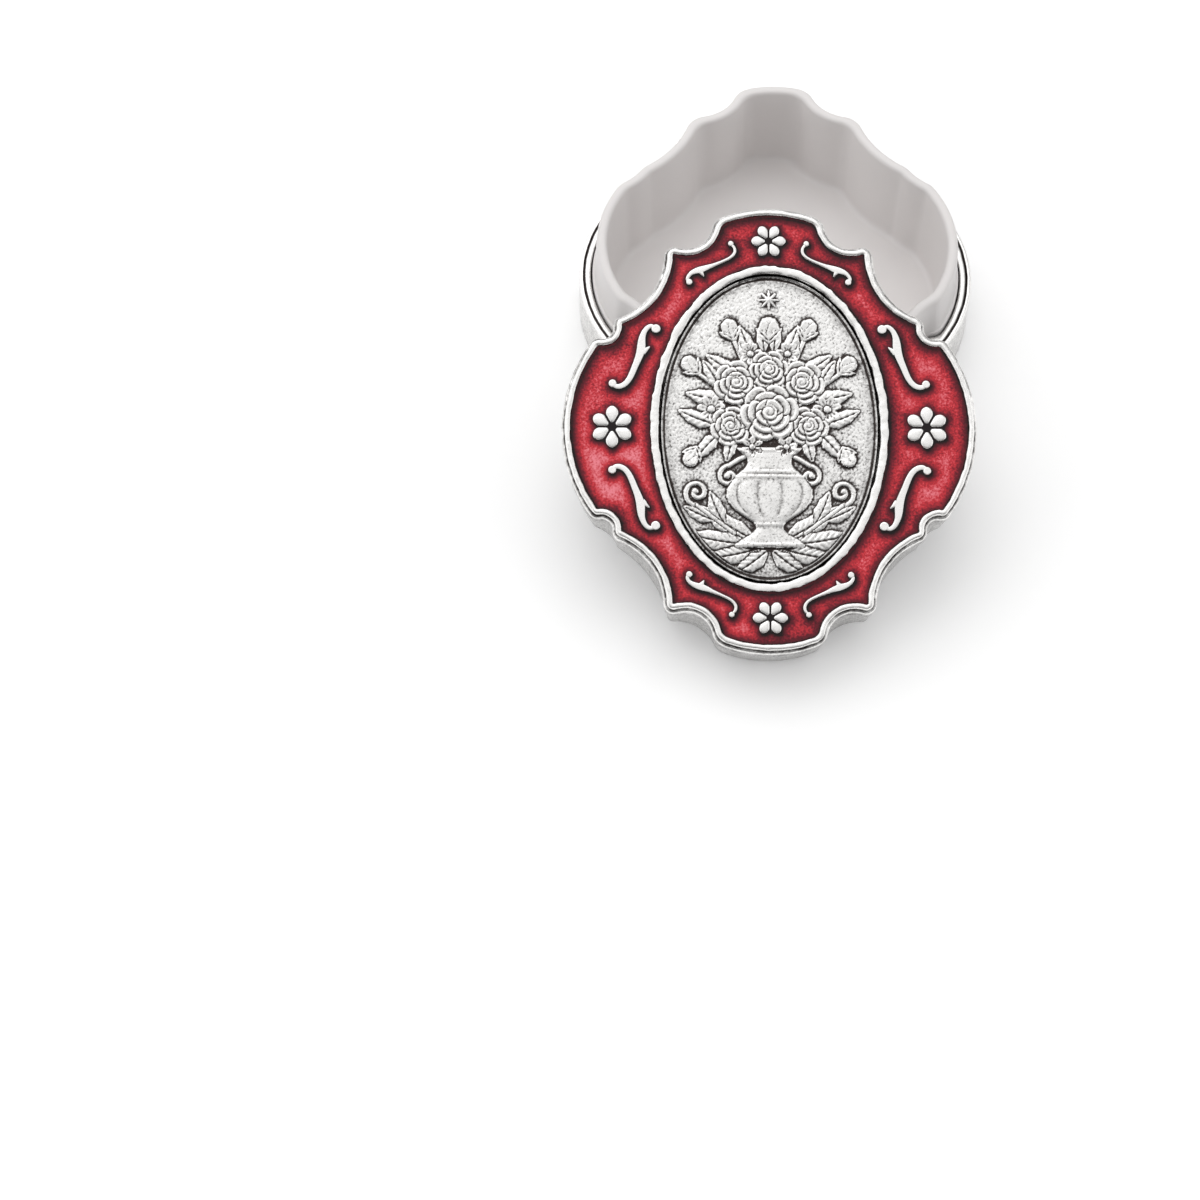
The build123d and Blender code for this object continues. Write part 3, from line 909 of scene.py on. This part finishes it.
def spray(art):
    """Roses, daisies and leaves in a vase on a leafy bank, under a small star."""
    # leafy bank
    for side in (1, -1):
        turn = 0 if side > 0 else pi
        for cx, cy, degrees, length, width, curl in (
            (2.0, -20.0, 26, 11.5, 1.9, 0.12), (3.0, -20.5, 4, 11.5, 2.0, 0.1),
            (1.5, -21.0, -18, 10.0, 1.9, 0.12), (0.5, -21.5, -42, 7.0, 1.7, 0.1),
            (7.6, -17.0, 58, 6.4, 1.5, 0.15), (9.6, -16.2, 20, 5.6, 1.3, 0.1),
        ):
            art.leaf(side * cx, cy, turn + side * radians(degrees), length, width, 0.05, side * curl)
        art.curl(side * 12.3, -11.4, 2.3, radians(-90), 1.35, 0.42, side)
        art.stem([(side * 6.0, -18.5), (side * 9.0, -16.2), (side * 12.3, -13.7)], 0.42)
        # handles and trailing stems
        art.curl(side * 6.9, -8.6, 1.9, radians(90), 1.2, 0.4, -side)
        art.stem([(side * 3.0, -4.6), (side * 5.2, -5.6), (side * 6.9, -6.7)], 0.42, 0.08)
        art.stem([(side * 2.0, -2.5), (side * 8.5, -1.0), (side * 12.6, -4.0)], 0.36)
        art.stem([(side * 1.0, 0), (side * 8.0, 6.5), (side * 12.2, 9.6)], 0.36)
        art.stem([(side * 0.6, 0), (side * 4.2, 11), (side * 6.2, 16.0)], 0.36)
        for cx, cy, degrees, length, width, curl in (
            (8.6, -1.2, -42, 6.0, 1.4, -0.1), (9.4, 0.6, 14, 6.6, 1.5, 0.14),
            (6.4, -1.6, -84, 4.6, 1.2, 0.1), (7.6, 4.8, 4, 6.8, 1.6, 0.12),
            (8.2, 6.6, 66, 6.2, 1.4, -0.12), (5.4, 9.4, 26, 6.4, 1.5, 0.12),
            (4.0, 11.4, 92, 5.8, 1.4, -0.12), (2.4, 12.0, 60, 6.4, 1.4, 0.12),
            (0.8, 13.4, 82, 6.0, 1.2, 0.1),
        ):
            art.leaf(side * cx, cy, turn + side * radians(degrees), length, width, 0.08, side * curl)
        art.bud(side * 12.4, -3.6, turn - side * radians(62), 3.6)
        art.bud(side * 12.0, 9.6, turn + side * radians(44), 3.8)
        art.bud(side * 6.0, 15.6, turn + side * radians(70), 3.8)
        art.daisy(side * 9.9, 3.2, 2.5, 0.3, 7)
        art.daisy(side * 3.2, 13.0, 2.1, 0.2, 7)
    art.bud(0, 15.2, radians(90), 4.4)
    art.vase(-21.0, 17.5)
    art.rose(-5.6, 7.9, 3.9, 0.4)
    art.rose(5.6, 7.9, 3.9, 1.9)
    art.rose(-6.6, 0.2, 3.5, 2.4)
    art.rose(6.6, 0.2, 3.5, 0.9)
    art.rose(0, 10.2, 3.4, 0.1, 0.16)
    art.rose(0, 2.6, 5.0, 1.2, 0.2)
    art.daisy(-2.9, -3.4, 1.9, 0.5, 6, 0.2)
    art.daisy(2.9, -3.4, 1.9, 0.2, 6, 0.2)
    r, a = np.hypot(art.x, art.y - 22.6), np.arctan2(art.y - 22.6, art.x)
    star = r / (0.8 + 1.0 * np.abs(np.cos(4 * a)) ** 3)
    art.lay(star < 1, 0.1 + 0.3 * np.clip(1 - star, 0, 1))


class ROSARYBOX_OT_plaque(bpy.types.Operator):
    """Oval plaque: thin rim, stippled ground and a vase of roses in low relief"""

    bl_idname = "rosarybox.plaque"
    bl_label = "Plaque"

    def execute(self, context):
        lid = context.scene.rosary_lid
        half_x = lid.bezel_x - lid.bezel_width - 0.1
        half_y = lid.bezel_y - lid.bezel_width - 0.1
        deselect()
        across, up = 270, 350
        height_scale, ground_z, tallest = 0.9, -0.68, 0.62
        bpy.ops.mesh.primitive_grid_add(x_subdivisions=across, y_subdivisions=up, size=2)
        plaque = bpy.context.object
        plaque.name = plaque.data.name = "plaque"
        count = len(plaque.data.vertices)
        flat = np.empty(count * 3, dtype=np.float32)
        plaque.data.vertices.foreach_get("co", flat)
        square = flat.reshape(-1, 3)
        sx, sy = square[:, 0].astype(float), square[:, 1].astype(float)
        x = half_x * sx * np.sqrt(1 - sy * sy / 2)
        y = half_y * sy * np.sqrt(1 - sx * sx / 2)
        art = Relief(x, y)
        spray(art)
        art.h *= height_scale
        places = list(zip(x, y))
        stipple = np.array([
            noise.noise(Vector((p * 2.4, q * 2.4, 0.3))) + 0.6 * noise.noise(Vector((p * 5.1, q * 5.1, 4.0)))
            for p, q in places
        ])
        ground = art.h == 0
        h = art.h + np.where(ground, 0.035 * stipple, 0.012 * stipple)
        rho = np.sqrt((x / half_x) ** 2 + (y / half_y) ** 2)
        inside = np.hypot(x, y) * (1 / np.maximum(rho, 1e-6) - 1)
        rim = np.interp(
            inside,
            [0, 0.06, 0.16, 0.3, 0.48, 0.58, 0.7, 0.86, 1.0, 1.15, 1.35],
            [-0.3, 0.05, 0.35, 0.43, 0.34, 0.1, -0.06, -0.06, 0.05, 0.04, 0.0],
        )
        h = np.where(inside < 1.35, rim + 0.02 * stipple, h)
        order = np.lexsort((np.round(sx, 4), np.round(sy, 4)))
        width = across + 1
        grid = h[order].reshape(-1, width)

        def soften(g, reach):
            k = np.ones(2 * reach + 1) / (2 * reach + 1)
            p = np.pad(g, reach, mode="edge")
            p = np.apply_along_axis(lambda m: np.convolve(m, k, "valid"), 0, p)
            return np.apply_along_axis(lambda m: np.convolve(m, k, "valid"), 1, p)

        hollow = sum(
            (soften(grid, reach) - grid) * gain for reach, gain in ((2, 12), (5, 5), (11, 1.8))
        )
        down, along = np.gradient(grid)
        slope = np.hypot(down * up / (2 * half_y), along * across / (2 * half_x))
        tarnish_and_shade = np.empty(count)
        # The hollows take patina; painted shade darkens the steep slopes as well.
        tarnish_and_shade[order] = (hollow + 0.26 * np.clip(slope - 0.15, 0, 1)).ravel()
        rounded = np.empty(count)
        rounded[order] = (0.5 * grid + 0.5 * soften(grid, 1)).ravel()
        tarnish_and_shade = np.clip(tarnish_and_shade, 0, 1.1)
        # Painted shade: the field is darkened towards the bottom of the plaque.
        tarnish_and_shade = tarnish_and_shade + 0.13 * np.clip((6 - y) / 26, 0, 1)
        tarnish_and_shade = np.where(inside < 0.12, 1.0, tarnish_and_shade)
        streak = np.array([noise.noise(Vector((p * 1.1, q * 1.1, 9.0))) for p, q in places])
        cove = np.interp(
            inside, [0.12, 0.2, 0.55, 0.62, 0.86, 0.95, 1.6, 3.2], [0.9, 0.3, 0.35, 0.85, 0.8, 0.36, 0.18, 0]
        )
        tarnish_and_shade = np.maximum(tarnish_and_shade, cove * (1 + 0.7 * streak)) + 0.3 * cove * stipple
        z = ground_z + np.minimum(rounded, tallest)
        plaque.data.vertices.foreach_set(
            "co", (np.stack([x, y, z], axis=1) * MM).astype(np.float32).ravel()
        )
        plaque.data.update()
        paint(plaque, "tarnish_and_shade", tarnish_and_shade)
        edit_open_edges(plaque)
        bpy.ops.mesh.extrude_edges_indiv()
        shape = bmesh.from_edit_mesh(plaque.data)
        for vertex in shape.verts:
            if vertex.select:
                vertex.co.z = -1.4 * MM
        bmesh.update_edit_mesh(plaque.data)
        bpy.ops.mesh.edge_face_add()
        leave_edit()
        finish_piece(
            plaque, "lid", antiqued_silver("Stamped silver", 0.34, 0.12),
            lid_place(), 60, node="lid_medallion",
        )
        return {"FINISHED"}


# ---------------------------------------------------------------- the stage


class ROSARYBOX_OT_stage(bpy.types.Operator):
    """Pale floor, soft light and a long-lens camera"""

    bl_idname = "rosarybox.stage"
    bl_label = "Stage"

    def execute(self, context):
        deselect()
        bpy.ops.mesh.primitive_plane_add(size=6)
        floor = context.object
        floor.name = floor.data.name = "floor"
        material = bpy.data.materials.new("Pale floor")
        material.use_nodes = True
        nodes, links = material.node_tree.nodes, material.node_tree.links
        shader = nodes["Principled BSDF"]
        shader.inputs["Roughness"].default_value = 0.9
        shader.inputs["Specular IOR Level"].default_value = 0.0
        rays = nodes.new("ShaderNodeLightPath")
        seen = maths(nodes, links, "MAXIMUM", rays.outputs["Is Camera Ray"], rays.outputs["Is Glossy Ray"])
        seen = maths(nodes, links, "MAXIMUM", seen, rays.outputs["Is Transmission Ray"])
        mix = nodes.new("ShaderNodeMix")
        mix.data_type = "RGBA"
        links.new(seen, mix.inputs[0])
        mix.inputs[6].default_value = (0.8, 0.8, 0.8, 1)
        mix.inputs[7].default_value = (1.0, 1.0, 1.0, 1)
        links.new(mix.outputs[2], shader.inputs["Base Color"])
        lifted = maths(nodes, links, "MULTIPLY", seen, 0.2)
        shader.inputs["Emission Color"].default_value = (1, 1, 1, 1)
        links.new(lifted, shader.inputs["Emission Strength"])
        floor.data.materials.append(material)

        world = bpy.data.worlds.new("Studio")
        context.scene.world = world
        world.use_nodes = True
        nodes, links = world.node_tree.nodes, world.node_tree.links
        direction = nodes.new("ShaderNodeTexCoord").outputs["Generated"]
        axes = nodes.new("ShaderNodeSeparateXYZ")
        links.new(direction, axes.inputs[0])
        height = maths(nodes, links, "MULTIPLY_ADD", axes.outputs["Y"], 0.22)
        links.new(axes.outputs["Z"], height.node.inputs[2])
        tent = ramp(
            nodes, links, height,
            [
                (at, (grey, grey, grey))
                for at, grey in ((0.0, 0.12), (0.25, 0.2), (0.5, 0.34), (0.75, 0.58), (0.9, 0.84), (0.98, 1))
            ],
        )
        links.new(tent, nodes["Background"].inputs["Color"])
        nodes["Background"].inputs["Strength"].default_value = 1.0

        aim = Vector((0, -0.03, 0.02))
        for name, power, size, place in (
            ("back_light", 4.0, 1.4, (-0.3, 0.6, 0.95)),
            ("left_light", 3.2, 1.1, (-0.95, -0.15, 0.4)),
            ("right_light", 2.8, 1.1, (0.95, -0.1, 0.4)),
        ):
            deselect()
            bpy.ops.object.light_add(type="AREA", location=place)
            lamp = context.object
            lamp.name = name
            lamp.data.energy = power
            lamp.data.size = size
            lamp.rotation_euler = (aim - Vector(place)).to_track_quat("-Z", "Y").to_euler()

        deselect()
        bpy.ops.object.camera_add()
        camera = context.object
        down, pan, roll = radians(58.612), radians(0.735), radians(-0.38)
        turn = Matrix.Rotation(pan, 4, "Z") @ Matrix.Rotation(pi / 2 - down, 4, "X")
        turn = turn @ Matrix.Rotation(roll, 4, "Z")
        camera.matrix_world = Matrix.Translation((-0.02754, -0.356, 0.4801)) @ turn
        camera.data.sensor_width = 36
        camera.data.lens = 97.12
        camera.data.clip_start = 0.01
        context.scene.camera = camera
        context.scene.view_settings.view_transform = "Standard"
        return {"FINISHED"}


OPERATORS = [
    ROSARYBOX_OT_base_cup,
    ROSARYBOX_OT_tray,
    ROSARYBOX_OT_lid_casting,
    ROSARYBOX_OT_enamel,
    ROSARYBOX_OT_flowers,
    ROSARYBOX_OT_scrolls,
    ROSARYBOX_OT_plaque,
    ROSARYBOX_OT_stage,
]


class ROSARYBOX_PT_panel(bpy.types.Panel):
    """Buttons for the pieces, and their sizes and colours"""

    bl_idname = "ROSARYBOX_PT_panel"
    bl_label = "Rosary box"
    bl_space_type = "VIEW_3D"
    bl_region_type = "UI"
    bl_category = "Rosary box"

    def draw(self, context):
        for operator in OPERATORS:
            self.layout.operator(operator.bl_idname)
        scene = context.scene
        for group in (scene.rosary_outline, scene.rosary_lid, scene.rosary_finish):
            box = self.layout.box()
            for name in group.__annotations__:
                box.prop(group, name)


def register():
    for cls in CLASSES + OPERATORS + [ROSARYBOX_PT_panel]:
        bpy.utils.register_class(cls)
    bpy.types.Scene.rosary_outline = bpy.props.PointerProperty(type=ROSARYBOX_PG_outline)
    bpy.types.Scene.rosary_lid = bpy.props.PointerProperty(type=ROSARYBOX_PG_lid)
    bpy.types.Scene.rosary_finish = bpy.props.PointerProperty(type=ROSARYBOX_PG_finish)


def unregister():
    del bpy.types.Scene.rosary_outline, bpy.types.Scene.rosary_lid, bpy.types.Scene.rosary_finish
    for cls in reversed(CLASSES + OPERATORS + [ROSARYBOX_PT_panel]):
        bpy.utils.unregister_class(cls)


def main():
    register()
    for operator in OPERATORS:
        group, name = operator.bl_idname.split(".")
        getattr(getattr(bpy.ops, group), name)()


if __name__ == "__main__":
    main()
